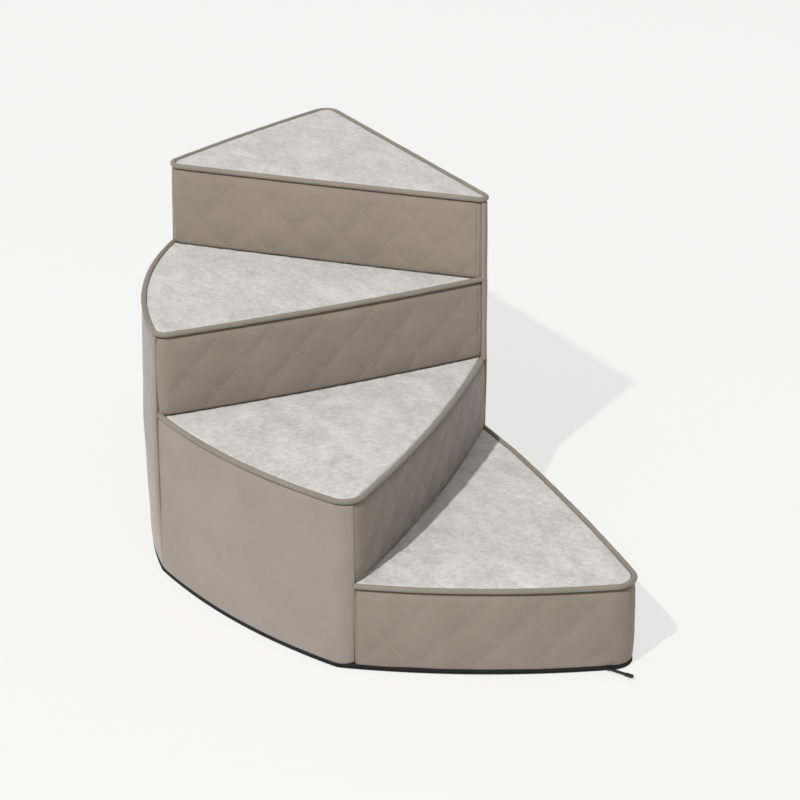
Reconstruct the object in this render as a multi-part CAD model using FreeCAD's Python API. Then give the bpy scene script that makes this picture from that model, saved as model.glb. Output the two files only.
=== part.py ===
"""Curved soft stairs for a small dog: four wedge steps that fan round one upright edge.

Millimetres, +Z up. The origin is on the floor, on the centre line of the upright edge that the
steps fan round. The flat back faces +Y, step 1 is at +X and the top step is at -X.
The plan is a belt drawn round upright "posts": each corner is a post with its own radius, and
each wall is an arc (or a straight line) that touches two posts.
"""
import FreeCAD, Part
import math
import os

# ---- overall size -------------------------------------------------------------------------
FIRST_STEP = 132.0        # floor to tread 1
STEP_RISE = 125.5         # tread to tread
STEP_COUNT = 4

# ---- plan ---------------------------------------------------------------------------------
REACH = 512.0             # upright edge to the centre of the front corner of step 1
PIVOT_RADIUS = 12.0       # rounding of the upright edge, and distance of the back from the origin
CORNERS = {               # share of the reach, direction in degrees, corner radius
    "F0": (0.980, -9.7, 34.0),
    "F1": (0.996, -51.5, 28.0),
    "F2": (0.966, -94.7, 18.0),
    "F3": (0.918, -138.7, 20.0),
}
BACK_CORNER = 0.900       # share of the reach to the rounded corner behind the top step
BACK_CORNER_RADIUS = 22.0
SIDE_LEAN = 8.8           # the side of step 1 leans this far from the back, in degrees
HEEL_RADIUS = 120.0       # soft corner between the side and the back
WALL_BOW = {              # radius of each bowed wall, as a share of the reach
    "F4F3": 5.800, "F3F2": 1.190, "F2F1": 1.800, "F1F0": 2.211,
    "F0H": 9.00, "F1P": 4.49, "F2P": 8.20, "F3P": 29.3,
}

# ---- layers -------------------------------------------------------------------------------
FIT = 0.3                 # air between separate pieces
COVER = 3.0               # padded cover fabric
PAD = 25.0                # soft comfort foam under each tread
BASE = 2.0                # non-slip bottom cloth
BAND_HEIGHT = 6.0         # black closure band above the bottom cloth
PIPING_RADIUS = 3.7
PIPING_INSET = 3.0        # piping centre, inside the wall face
PIPING_DROP = PIPING_RADIUS + FIT         # piping centre, below the tread face
TREAD = PIPING_DROP + PIPING_RADIUS + FIT  # plush tread with its backing, as deep as its piping

# ---- seams: turn from each corner's outward direction, in degrees -------------------------
SEAM_TURN = {"F1": 50.0, "F2": 20.0, "F3": 20.0}
FRONT_SIDE_SEAM = 70.0    # direction of the seam round the F0 corner
BACK_SEAM = 135.0         # direction of the seam round the F4 corner
PIVOT_SEAM_LAP = 12.0     # the back cover starts this far round the upright edge

# ---- zip ----------------------------------------------------------------------------------
BAND_INSET = 1.0
BAND_THICKNESS = 1.0
COIL_HEIGHT = 1.8
COIL_INSET = -0.2
COIL_DEPTH = 1.0
ZIP_END_SIDE = 40.0       # the coil ends here round F0
ZIP_END_BACK = 160.0      # and here round F4
STOP_ANGLE = 3.0          # length of a zip stop round its corner, in degrees
SLIDER_WALL = 1.2
SLIDER_LENGTH = 11.0
SLIDER_PARK = 0.35        # slider centre, this many degrees before the end of the front wall
LUG_REACH = 5.4           # lugs reach this far out from the coil face
LUG_WIDTH = 5.0
LUG_THICKNESS = 0.8
PIN_RADIUS = 0.8
PIN_CLEARANCE = 0.08
PULL_LENGTH = 38.0
PULL_EYE_RADIUS = 1.9
PULL_GRIP_WIDTH = 6.6
PULL_GRIP_LENGTH = 14.0
PULL_REST = 26.0          # direction of the pull at rest, in degrees

TREAD_Z = [FIRST_STEP + STEP_RISE * i for i in range(STEP_COUNT)]
UNDER_TREAD = [z - TREAD for z in TREAD_Z]
FOAM_TOP = [z - PAD for z in UNDER_TREAD]
FOAM_BOTTOM = [BASE + FIT] + FOAM_TOP[:-1]
BAND_BOTTOM = BASE + FIT
COVER_BOTTOM = BAND_BOTTOM + BAND_HEIGHT + FIT
FOAM_INSET = COVER + FIT
TREAD_INSET = PIPING_INSET + PIPING_RADIUS + FIT
COIL_Z = BAND_BOTTOM + (BAND_HEIGHT - COIL_HEIGHT) / 2.0


def unit(angle):
    """Plan direction for an angle in degrees."""
    return (math.cos(math.radians(angle)), math.sin(math.radians(angle)))


def polar(centre, radius, angle, z=0.0):
    """Point at a radius and direction from a plan centre."""
    u = unit(angle)
    return FreeCAD.Vector(centre[0] + radius * u[0], centre[1] + radius * u[1], z)


def direction(start, end):
    """Angle in degrees of the line from one plan point to another."""
    return math.degrees(math.atan2(end[1] - start[1], end[0] - start[0]))


def make_posts():
    """Centre and radius of every post."""
    posts = {"P": ((0.0, 0.0), PIVOT_RADIUS)}
    for name, (share, angle, radius) in CORNERS.items():
        u = unit(angle)
        posts[name] = ((REACH * share * u[0], REACH * share * u[1]), radius)
    posts["F4"] = ((-REACH * BACK_CORNER, PIVOT_RADIUS - BACK_CORNER_RADIUS), BACK_CORNER_RADIUS)
    normal = unit(90.0 - SIDE_LEAN)
    (x0, y0), r0 = posts["F0"]
    reach = normal[0] * x0 + normal[1] * y0 + r0
    heel_x = (reach - normal[1] * PIVOT_RADIUS) / normal[0]
    heel_x -= HEEL_RADIUS * math.tan(math.radians(SIDE_LEAN / 2.0))
    posts["H"] = ((heel_x, PIVOT_RADIUS - HEEL_RADIUS), HEEL_RADIUS)
    return posts


POSTS = make_posts()
ROUTES = {
    1: ["F4", "F3", "F2", "F1", "F0", "H", "P"],
    2: ["F4", "F3", "F2", "F1", "P"],
    3: ["F4", "F3", "F2", "P"],
    4: ["F4", "F3", "P"],
}


def wall_between(first, second):
    """Wall that touches two posts: (centre, radius, start normal, end normal); centre None if straight."""
    (ca, ra), (cb, rb) = POSTS[first], POSTS[second]
    bow = WALL_BOW.get(first + second)
    gap = math.hypot(cb[0] - ca[0], cb[1] - ca[1])
    heading = direction(ca, cb)
    if bow is None:
        normal = heading - math.degrees(math.acos((ra - rb) / gap))
        return None, None, normal, normal
    radius = bow * REACH
    reach_a, reach_b = radius - ra, radius - rb
    along = (reach_a ** 2 - reach_b ** 2 + gap ** 2) / (2.0 * gap)
    inward = math.sqrt(reach_a ** 2 - along ** 2)
    u, n = unit(heading), unit(heading + 90.0)
    centre = (ca[0] + u[0] * along + n[0] * inward, ca[1] + u[1] * along + n[1] * inward)
    return centre, radius, direction(centre, ca), direction(centre, cb)


def belt(level):
    """The outline of one level, anticlockwise: (kind, name, centre, radius, start normal, end normal)."""
    route = ROUTES[level]
    walls = [wall_between(a, b) for a, b in zip(route, route[1:] + route[:1])]
    pieces = []
    for index, (name, wall) in enumerate(zip(route, walls)):
        centre, radius = POSTS[name]
        arriving, leaving = walls[index - 1][3], wall[2]
        turn = (leaving - arriving + 180.0) % 360.0 - 180.0
        pieces.append(("post", name, centre, radius, arriving, arriving + turn))
        start = arriving + turn
        centre, radius, a, b = wall
        sweep = (b - a + 180.0) % 360.0 - 180.0
        pieces.append(("wall", name, centre, radius, start, start + sweep))
    return pieces


def arc_edge(centre, radius, start, end, z):
    """Arc between two directions round a centre."""
    middle = (start + end) / 2.0
    points = [polar(centre, radius, a, z) for a in (start, middle, end)]
    return Part.Arc(*points).toShape()


def stretch_pieces(level, start, end):
    """Pieces of an outline from one (post, direction) to another, clipped at both ends."""
    pieces = belt(level)
    names = [p[1] if p[0] == "post" else None for p in pieces]
    first, last = names.index(start[0]), names.index(end[0])
    count = (last - first) % len(pieces)
    chosen = [pieces[(first + i) % len(pieces)] for i in range(count + 2)]
    clipped = []
    for index, (kind, name, centre, radius, a, b) in enumerate(chosen):
        low, high = a, b
        if index < 2:
            low = max(low, near(start[1], a))
        if index >= count:
            high = min(high, near(end[1], b))
        if kind == "wall" and radius is None:
            if index < 2 and low > a or index >= count:
                continue
            clipped.append((kind, name, centre, radius, a, b))
        elif high - low > 1e-6:
            clipped.append((kind, name, centre, radius, low, high))
    return clipped


def near(angle, reference):
    """The same direction written within half a turn of a reference."""
    return reference + (angle - reference + 180.0) % 360.0 - 180.0


def piece_ends(piece, inset, route):
    """Start and end points of one piece at an inset from the outline."""
    kind, name, centre, radius, a, b = piece
    if radius is not None:
        return polar(centre, radius - inset, a), polar(centre, radius - inset, b)
    following = route[(route.index(name) + 1) % len(route)]
    (ca, ra), (cb, rb) = POSTS[name], POSTS[following]
    return polar(ca, ra - inset, a), polar(cb, rb - inset, b)


def edges_for(pieces, inset, z, route):
    """Edges of a run of pieces at an inset and a height."""
    edges = []
    lift = FreeCAD.Vector(0, 0, z)
    for piece in pieces:
        radius = piece[3]
        p, q = piece_ends(piece, inset, route)
        if p.distanceToPoint(q) < 1e-6:
            continue
        if radius is None:
            edges.append(Part.makeLine(p + lift, q + lift))
        else:
            edges.append(arc_edge(piece[2], radius - inset, piece[4], piece[5], z))
    return edges


def loop_wire(level, inset, z):
    """Closed outline of a level."""
    return Part.Wire(edges_for(belt(level), inset, z, ROUTES[level]))


def slab(level, inset, low, high):
    """Solid that fills a level's outline between two heights."""
    face = Part.Face(loop_wire(level, inset, low))
    return face.extrude(FreeCAD.Vector(0, 0, high - low))


def ring(level, inset, thickness, low, high):
    """Closed band along a level's outline."""
    return slab(level, inset, low, high).cut(slab(level, inset + thickness, low - 1.0, high + 1.0))


def panel(level, start, end, inset, thickness, low, high):
    """Wall panel along part of an outline."""
    route = ROUTES[level]
    pieces = stretch_pieces(level, start, end)
    outer = edges_for(pieces, inset, low, route)
    inner = edges_for(pieces, inset + thickness, low, route)
    caps = [Part.makeLine(o, i) for o, i in (
        (outer[0].Vertexes[0].Point, inner[0].Vertexes[0].Point),
        (outer[-1].Vertexes[-1].Point, inner[-1].Vertexes[-1].Point))]
    wire = Part.Wire(Part.__sortEdges__(outer + inner + caps))
    return Part.Face(wire).extrude(FreeCAD.Vector(0, 0, high - low))


def cord(edges, closed):
    """Round cord swept along a flat path."""
    path = Part.Wire(edges)
    first = edges[0]
    start = first.valueAt(first.FirstParameter)
    tangent = first.tangentAt(first.FirstParameter)
    profile = Part.Wire(Part.Circle(start, tangent, PIPING_RADIUS).toShape())
    return path.makePipeShell([profile], True, False)


def upper_seam(corner):
    """Direction of the upright seam round a corner."""
    return CORNERS[corner][1] + SEAM_TURN[corner]


def lower_wall(corner):
    """Wall of the step below a corner."""
    return wall_between(corner, "F" + str(int(corner[1]) - 1))


def lower_seam(corner):
    """Direction of the upright seam below the tread: where the wall of the step below begins."""
    return lower_wall(corner)[2]


def piping_start(corner):
    """Direction, on the wall of the step below, of the point abreast of the upper seam."""
    centre, radius = POSTS[corner]
    return direction(lower_wall(corner)[0], polar(centre, radius, upper_seam(corner)))


def pivot_seam(level):
    """Direction of the seam round the upright edge: where the riser meets it, plus a small lap."""
    arriving = [p for p in belt(level) if p[:2] == ("post", "P")][0][4]
    return arriving + (PIVOT_SEAM_LAP if level == STEP_COUNT else 0.0)


def merged(solids):
    """One clean solid from touching solids."""
    return solids[0].fuse(solids[1:]).removeSplitter() if len(solids) > 1 else solids[0]


def foam_layers():
    """Stacked slabs of firm foam, one for each level."""
    parts = {}
    for k in range(1, STEP_COUNT + 1):
        parts["foam_layer_%d" % k] = slab(k, FOAM_INSET, FOAM_BOTTOM[k - 1], FOAM_TOP[k - 1])
    return parts


def step_area(k, inset, low, high):
    """Solid over one step: its level's outline, less the next level's."""
    body = slab(k, inset, low, high)
    if k < STEP_COUNT:
        body = body.cut(slab(k + 1, -FIT, low - 1.0, high + 1.0))
    return body


def largest(shape):
    """The biggest solid of a shape."""
    return max(shape.Solids, key=lambda s: s.Volume)


def comfort_pads():
    """Soft foam under each tread."""
    return {"comfort_pad_%d" % k: largest(step_area(k, FOAM_INSET, FOAM_TOP[k - 1], UNDER_TREAD[k - 1]))
            for k in range(1, STEP_COUNT + 1)}


def tread_panels():
    """Plush tread on each step."""
    return {"tread_panel_%d" % k: largest(step_area(k, TREAD_INSET, UNDER_TREAD[k - 1], TREAD_Z[k - 1]))
            for k in range(1, STEP_COUNT + 1)}


def riser_panels():
    """Quilted faces: the front of step 1, and the risers tucked down behind the pads."""
    front = panel(1, ("F1", lower_seam("F1")), ("F0", FRONT_SIDE_SEAM), 0.0, COVER, COVER_BOTTOM, UNDER_TREAD[0])
    parts = {"riser_panel_1": front}
    for k in range(2, STEP_COUNT + 1):
        corner = "F%d" % (k - 1)
        start, end = (corner, upper_seam(corner)), ("P", pivot_seam(k))
        shown = panel(k, start, end, 0.0, COVER, UNDER_TREAD[k - 2], UNDER_TREAD[k - 1])
        tucked = panel(k, start, end, 0.0, COVER, FOAM_TOP[k - 2], UNDER_TREAD[k - 2])
        inside = slab(k - 1, FOAM_INSET, FOAM_TOP[k - 2] - 1.0, UNDER_TREAD[k - 2])
        parts["riser_panel_%d" % k] = largest(merged([shown, tucked.common(inside)]))
    return parts


def outer_walls():
    """Smooth outer walls of steps 2 to 4, floor to tread."""
    parts = {}
    for k in range(2, STEP_COUNT + 1):
        near_corner, far_corner = "F%d" % (k - 1), "F%d" % k
        start = (far_corner, BACK_SEAM if k == STEP_COUNT else lower_seam(far_corner))
        low_part = panel(k - 1, start, (near_corner, lower_seam(near_corner)), 0.0, COVER,
                         COVER_BOTTOM, UNDER_TREAD[k - 2])
        high_part = panel(k, start, (near_corner, upper_seam(near_corner)), 0.0, COVER,
                          UNDER_TREAD[k - 2], UNDER_TREAD[k - 1])
        parts["outer_wall_%d" % k] = largest(merged([low_part, high_part]))
    return parts


def flat_panels():
    """Side of step 1 with its heel, and the back."""
    side = panel(1, ("F0", FRONT_SIDE_SEAM), ("P", 90.0), 0.0, COVER, COVER_BOTTOM, UNDER_TREAD[0])
    heights = [COVER_BOTTOM] + UNDER_TREAD
    back = [panel(1, ("P", 90.0), ("F4", BACK_SEAM), 0.0, COVER, heights[0], heights[1])]
    for k in range(2, STEP_COUNT + 1):
        back.append(panel(k, ("P", pivot_seam(k)), ("F4", BACK_SEAM), 0.0, COVER, heights[k - 1], heights[k]))
    return {"side_panel": side, "back_panel": largest(merged(back))}


def pipings():
    """Corded edge of every tread; the lower three end against the next step."""
    parts = {}
    for k in range(1, STEP_COUNT + 1):
        z = TREAD_Z[k - 1] - PIPING_DROP
        route = ROUTES[k]
        if k == STEP_COUNT:
            cable = cord(edges_for(belt(k), PIPING_INSET, z, route), True)
        else:
            corner = "F%d" % k
            end = ("P", 90.0) if k == 1 else ("P", pivot_seam(k))
            pieces = stretch_pieces(k, (corner, piping_start(corner)), end)
            cable = cord(edges_for(pieces, PIPING_INSET, z, route), False)
            reach = PIPING_RADIUS + 1.0
            cable = largest(cable.cut(slab(k + 1, -FIT, z - reach, z + reach)))
        parts["piping_%d" % k] = cable
    return parts


def base_parts():
    """Non-slip bottom cloth and the black closure band above it."""
    return {
        "bottom_panel": slab(1, 0.0, 0.0, BASE),
        "base_band": ring(1, BAND_INSET, BAND_THICKNESS, BAND_BOTTOM, BAND_BOTTOM + BAND_HEIGHT),
    }


def zip_track():
    """Coil along the curved side, and a stop at each end."""
    start, end = ("F4", ZIP_END_BACK), ("F0", ZIP_END_SIDE)
    coil = panel(1, start, end, COIL_INSET, COIL_DEPTH, COIL_Z, COIL_Z + COIL_HEIGHT)
    stops = []
    for corner, angle in (("F4", ZIP_END_BACK - STOP_ANGLE), ("F0", ZIP_END_SIDE + 0.5)):
        stops.append(panel(1, (corner, angle), (corner, angle + STOP_ANGLE - 0.5), COIL_INSET - 0.4,
                           COIL_DEPTH + 0.4, COIL_Z - 0.4, COIL_Z + COIL_HEIGHT + 0.4))
    return {"zip_coil": coil, "zip_stops": Part.makeCompound(stops)}


def front_wall():
    """Centre, radius and end direction of the front wall."""
    centre, radius, start, end = wall_between("F1", "F0")
    return centre, radius, end


def slider_angle():
    """Direction of the parked slider, seen from the centre of the front wall."""
    return front_wall()[2] - SLIDER_PARK


def arc_block(near_inset, far_inset, low, high, half_length):
    """Block curved with the front wall, centred on the parked slider."""
    centre, radius, _ = front_wall()
    half = math.degrees(half_length / radius)
    middle = slider_angle()
    outer = arc_edge(centre, radius - far_inset, middle - half, middle + half, low)
    inner = arc_edge(centre, radius - near_inset, middle - half, middle + half, low)
    caps = [Part.makeLine(outer.Vertexes[i].Point, inner.Vertexes[i].Point) for i in (0, 1)]
    wire = Part.Wire(Part.__sortEdges__([outer, inner] + caps))
    return Part.Face(wire).extrude(FreeCAD.Vector(0, 0, high - low))


def pin_place():
    """Plan centre of the pull's pin."""
    centre, radius, _ = front_wall()
    return polar(centre, radius - COIL_INSET + LUG_REACH - PIN_RADIUS - LUG_THICKNESS, slider_angle())


def zip_slider():
    """Channel that rides over the coil, with two lugs and a pin for the pull."""
    low, high = COIL_Z - FIT, COIL_Z + COIL_HEIGHT + FIT
    face = COIL_INSET - FIT
    back = COIL_INSET + COIL_DEPTH - FIT
    half = SLIDER_LENGTH / 2.0
    bars = [arc_block(face, face - SLIDER_WALL, low - SLIDER_WALL, high + SLIDER_WALL, half),
            arc_block(back, face, low - SLIDER_WALL, low, half),
            arc_block(back, face, high, high + SLIDER_WALL, half)]
    reach = COIL_INSET - LUG_REACH
    for bottom in (low - SLIDER_WALL, high + SLIDER_WALL - LUG_THICKNESS):
        bars.append(arc_block(face - SLIDER_WALL, reach, bottom, bottom + LUG_THICKNESS, LUG_WIDTH / 2.0))
    place = pin_place()
    place.z = low - SLIDER_WALL
    bars.append(Part.makeCylinder(PIN_RADIUS, high - low + 2.0 * SLIDER_WALL, place))
    return merged(bars)


def zip_pull():
    """Slim pull with an eye at one end and a thicker grip at the other."""
    low = COIL_Z - FIT - SLIDER_WALL + LUG_THICKNESS + FIT
    high = COIL_Z + COIL_HEIGHT + FIT + SLIDER_WALL - LUG_THICKNESS - FIT
    height = high - low
    eye = Part.makeCylinder(PULL_EYE_RADIUS, height)
    neck = Part.makeBox(PULL_LENGTH - PULL_GRIP_WIDTH, 2.0 * PULL_EYE_RADIUS, height,
                        FreeCAD.Vector(0.0, -PULL_EYE_RADIUS, 0.0))
    grip = Part.makeBox(PULL_GRIP_LENGTH, PULL_GRIP_WIDTH, height,
                        FreeCAD.Vector(PULL_LENGTH - PULL_GRIP_LENGTH, -PULL_GRIP_WIDTH / 2.0, 0.0))
    upright = [e for e in grip.Edges if abs(e.tangentAt(e.FirstParameter).z) > 0.9]
    grip = grip.makeFillet(PULL_GRIP_WIDTH / 2.0 - 0.1, upright)
    body = merged([eye, neck, grip])
    bore = Part.makeCylinder(PIN_RADIUS + PIN_CLEARANCE, height + 2.0, FreeCAD.Vector(0, 0, -1.0))
    body = body.cut(bore)
    body.rotate(FreeCAD.Vector(0, 0, 0), FreeCAD.Vector(0, 0, 1), PULL_REST)
    place = pin_place()
    body.translate(FreeCAD.Vector(place.x, place.y, low))
    return body


def main():
    parts = {}
    for group in (foam_layers, comfort_pads, tread_panels, riser_panels, outer_walls, flat_panels,
                  pipings, base_parts, zip_track):
        parts.update(group())
    parts["zip_slider"] = zip_slider()
    parts["zip_pull"] = zip_pull()
    os.makedirs("parts", exist_ok=True)
    for name, shape in parts.items():
        shape.exportStep("parts/" + name + ".step")
    centre, radius, end = front_wall()
    pin = pin_place()
    print("front wall centre %.4f %.4f radius %.3f end %.3f" % (centre[0], centre[1], radius, end))
    print("pin %.4f %.4f, front wall from %.3f, slider at %.3f" % (pin.x, pin.y, lower_seam("F1"), slider_angle()))
    for name, shape in parts.items():
        box = shape.BoundBox
        print("%-16s solids %d valid %s volume %.0f z %.2f..%.2f"
              % (name, len(shape.Solids), shape.isValid(), shape.Volume, box.ZMin, box.ZMax))


main()
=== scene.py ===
"""Looks of the curved soft pet stairs, in metres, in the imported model's frame.

Plan shapes are worked out in millimetres, as in the CAD, and scaled by MM when a mesh is made.
"""
import math

import bmesh
import bpy
import numpy as np
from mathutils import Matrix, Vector, geometry


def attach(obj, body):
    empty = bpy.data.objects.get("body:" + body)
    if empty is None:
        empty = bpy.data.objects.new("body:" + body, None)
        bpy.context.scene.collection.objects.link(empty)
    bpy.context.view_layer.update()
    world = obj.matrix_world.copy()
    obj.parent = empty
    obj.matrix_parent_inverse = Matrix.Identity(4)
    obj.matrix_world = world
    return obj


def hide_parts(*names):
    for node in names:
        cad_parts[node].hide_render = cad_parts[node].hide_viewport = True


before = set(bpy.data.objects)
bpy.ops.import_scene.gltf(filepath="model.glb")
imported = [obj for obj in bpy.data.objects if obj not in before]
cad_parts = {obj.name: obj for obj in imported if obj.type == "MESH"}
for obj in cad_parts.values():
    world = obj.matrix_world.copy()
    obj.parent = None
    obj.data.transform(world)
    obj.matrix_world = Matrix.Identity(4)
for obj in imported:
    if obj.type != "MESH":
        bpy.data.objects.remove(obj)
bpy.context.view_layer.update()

MM = 0.001

# ---- plan, as in the CAD, in millimetres ----
REACH = 512.0  # from the upright edge to step 1's front corner
PIVOT_RADIUS = 12.0  # rounding of the upright edge, and the back's distance from the origin
CORNERS = {  # share of the reach, direction in degrees, corner radius
    "F0": (0.980, -9.7, 34.0),
    "F1": (0.996, -51.5, 28.0),
    "F2": (0.966, -94.7, 18.0),
    "F3": (0.918, -138.7, 20.0),
}
BACK_CORNER = 0.900  # share of the reach to the corner behind the top step
BACK_CORNER_RADIUS = 22.0
SIDE_LEAN = 8.8  # the side of step 1 leans this far from the back, in degrees
HEEL_RADIUS = 120.0  # soft corner between the side and the back
WALL_BOW = {  # radius of each bowed wall, as a share of the reach
    "F4F3": 5.800, "F3F2": 1.190, "F2F1": 1.800, "F1F0": 2.211,
    "F0H": 9.00, "F1P": 4.49, "F2P": 8.20, "F3P": 29.3,
}
STEPS = (1, 2, 3, 4)
TREAD_Z = (132.0, 257.5, 383.0, 508.5)
TREAD = 8.0  # plush tread with its backing
COVER = 3.0  # padded cover fabric
SEAM_TURN = {"F1": 50.0, "F2": 20.0, "F3": 20.0}  # upright seams, this far round each corner
FRONT_SIDE_SEAM = 70.0  # directions of the seams on the F0 and F4 corners
BACK_SEAM = 135.0
ROUTES = {  # posts that each level's outline goes round
    1: ["F4", "F3", "F2", "F1", "F0", "H", "P"],
    2: ["F4", "F3", "F2", "F1", "P"],
    3: ["F4", "F3", "F2", "P"],
    4: ["F4", "F3", "P"],
}

# ---- sizes of the finished cloth, in millimetres ----
PIPING_RADIUS = 3.9
PIPING_INSET = 1.8  # piping centre, inside the wall face
PIPING_DROP = 4.0  # piping centre, below the tread face
PIVOT_LAP = 37.0  # riser 4 runs this far round the upright edge, in degrees
PIVOT_LIFT = 5.0  # step 1 is squeezed up this much at the upright edge
PIVOT_LIFT_REACH = 55.0
RIM_TUCK = 0.2  # a cover's inner face lies this much deeper than its cloth
SEAM_CLOTH = 1.0  # least thickness of a cover in a deep seam


# ---- plan geometry ----
def unit(angle):
    return np.array((math.cos(math.radians(angle)), math.sin(math.radians(angle))))


def direction(start, end):
    return math.degrees(math.atan2(end[1] - start[1], end[0] - start[0]))


def near(angle, reference):
    """The same angle, less than half a turn from a reference."""
    return reference + (angle - reference + 180.0) % 360.0 - 180.0


def make_posts():
    """Centre and radius of each upright post."""
    posts = {"P": (np.zeros(2), PIVOT_RADIUS)}
    for name, (share, angle, radius) in CORNERS.items():
        posts[name] = (REACH * share * unit(angle), radius)
    far = np.array((-REACH * BACK_CORNER, PIVOT_RADIUS - BACK_CORNER_RADIUS))
    posts["F4"] = (far, BACK_CORNER_RADIUS)
    normal = unit(90.0 - SIDE_LEAN)
    centre, radius = posts["F0"]
    heel = (normal @ centre + radius - normal[1] * PIVOT_RADIUS) / normal[0]
    heel -= HEEL_RADIUS * math.tan(math.radians(SIDE_LEAN / 2.0))
    posts["H"] = (np.array((heel, PIVOT_RADIUS - HEEL_RADIUS)), HEEL_RADIUS)
    return posts


POSTS = make_posts()


def wall_between(first, second):
    """(centre, radius, start normal, end normal) of the wall that touches two posts."""
    (ca, ra), (cb, rb) = POSTS[first], POSTS[second]
    gap = float(np.linalg.norm(cb - ca))
    heading = direction(ca, cb)
    bow = WALL_BOW.get(first + second)
    if bow is None:
        normal = heading - math.degrees(math.acos((ra - rb) / gap))
        return None, None, normal, normal
    radius = bow * REACH
    reach_a, reach_b = radius - ra, radius - rb
    along = (reach_a ** 2 - reach_b ** 2 + gap ** 2) / (2.0 * gap)
    inward = math.sqrt(reach_a ** 2 - along ** 2)
    centre = ca + unit(heading) * along + unit(heading + 90.0) * inward
    return centre, radius, direction(centre, ca), direction(centre, cb)


def belt(level):
    """Outline of a level, anticlockwise, as arcs and straight runs."""
    route = ROUTES[level]
    walls = [wall_between(a, b) for a, b in zip(route, route[1:] + route[:1])]
    pieces = []
    for i, (name, wall) in enumerate(zip(route, walls)):
        centre, radius = POSTS[name]
        arriving = walls[i - 1][3]
        start = near(wall[2], arriving)
        pieces.append(("post", name, centre, radius, arriving, start))
        sweep = near(wall[3] - wall[2], 0.0)
        following = POSTS[route[(i + 1) % len(route)]]
        if wall[0] is None:
            ends = (centre + radius * unit(start), following[0] + following[1] * unit(start))
            pieces.append(("line", name, ends, None, start, start))
        else:
            pieces.append(("wall", name, wall[0], wall[1], start, start + sweep))
    return pieces


class Path:
    """A run along an outline: points and outward normals by distance, in millimetres."""

    def __init__(self, pieces):
        self.pieces = [p for p in pieces if self.length_of(p) > 1e-6]
        self.lengths = [self.length_of(p) for p in self.pieces]
        self.starts = np.concatenate(([0.0], np.cumsum(self.lengths)))
        self.length = float(self.starts[-1])

    @staticmethod
    def length_of(piece):
        if piece[0] == "line":
            return float(np.linalg.norm(piece[2][1] - piece[2][0]))
        return piece[3] * math.radians(piece[5] - piece[4])

    def at(self, distances):
        s = np.asarray(distances, float)
        points, normals = np.zeros((len(s), 2)), np.zeros((len(s), 2))
        which = np.clip(np.searchsorted(self.starts, s, "right") - 1, 0, len(self.pieces) - 1)
        for i, piece in enumerate(self.pieces):
            chosen = which == i
            t = (s[chosen] - self.starts[i]) / self.lengths[i]
            if piece[0] == "line":
                points[chosen] = piece[2][0] + t[:, None] * (piece[2][1] - piece[2][0])
                normals[chosen] = unit(piece[4])
            else:
                angle = np.radians(piece[4] + t * (piece[5] - piece[4]))
                normals[chosen] = np.stack((np.cos(angle), np.sin(angle)), 1)
                points[chosen] = piece[2] + piece[3] * normals[chosen]
        return points, normals


def stretch(level, start=None, end=None):
    """Path from one (post, normal direction) to another, or the whole outline."""
    pieces = belt(level)
    if start is None:
        return Path(pieces)
    names = [p[1] if p[0] == "post" else None for p in pieces]
    first, last = names.index(start[0]), names.index(end[0])
    count = (last - first) % len(pieces)
    clipped = []
    for i in range(count + 2):
        kind, name, centre, radius, a, b = pieces[(first + i) % len(pieces)]
        low = max(a, near(start[1], a)) if i < 2 else a
        high = min(b, near(end[1], b)) if i >= count else b
        if kind == "line":
            if not (i < 2 and low > a) and not i >= count:
                clipped.append((kind, name, centre, radius, a, b))
        elif high - low > 1e-6:
            clipped.append((kind, name, centre, radius, low, high))
    return Path(clipped)


def upper_seam(corner):
    """Direction of the upright seam on a corner."""
    return CORNERS[corner][1] + SEAM_TURN[corner]


def seam_point(corner):
    """A corner's upright seam in plan, with the centre and radius of the next step's wall."""
    centre, radius = POSTS[corner]
    wall = wall_between(corner, "F%d" % (int(corner[1]) - 1))
    return centre + radius * unit(upper_seam(corner)), wall[0], wall[1]


def piping_start(corner):
    """Direction, on the wall of the step below, of the point abreast of the upright seam."""
    seam, centre, _ = seam_point(corner)
    return direction(centre, seam)


def seam_depth(corner):
    """How far the upright seam on a corner lies inside the wall of the step below."""
    seam, centre, radius = seam_point(corner)
    return radius - float(np.linalg.norm(seam - centre))


def pivot_start(level):
    """Direction in which a level's riser reaches the upright edge."""
    return [p for p in belt(level) if p[:2] == ("post", "P")][0][4]


# ---- meshes ----
def new_object(name, verts, faces, material):
    """Smooth-shaded object from vertices in millimetres."""
    mesh = bpy.data.meshes.new(name)
    corners = [tuple(int(i) for i in face) for face in faces]
    mesh.from_pydata([tuple(v) for v in np.asarray(verts) * MM], [], corners)
    mesh.update()
    mesh.polygons.foreach_set("use_smooth", [True] * len(mesh.polygons))
    obj = bpy.data.objects.new(name, mesh)
    bpy.context.scene.collection.objects.link(obj)
    mesh.materials.append(material)
    return obj


def piece(name, mesh, material, slot, node=None):
    """Finished piece of the stairs, with its material, in the place of its CAD node. The slot is
    not used.
    """
    obj = new_object(name, *mesh, material)
    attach(obj, "stairs")
    if node is not None:
        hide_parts(node)
    return obj


EDGE_STEPS = (0.0, 0.25, 0.6, 1.1, 1.8, 2.7, 3.8, 5.2)


def graded(length, step):
    """Distances along a length, closer together near both ends."""
    edges = EDGE_STEPS
    count = max(2, int((length - 2 * edges[-1]) / step) + 1)
    inner = np.linspace(edges[-1], length - edges[-1], count)
    return np.concatenate((edges[:-1], inner, length - np.array(edges[:-1])[::-1]))


def edge_roll(distance, width, depth):
    """How far a cover turns in near its edge: a quarter round."""
    t = np.clip(1.0 - distance / width, 0.0, 1.0)
    return -depth * (1.0 - np.sqrt(np.clip(1.0 - t * t, 0.0, 1.0)))


FLIPPED = [0, 3, 2, 1]  # corners of a face in reverse


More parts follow.
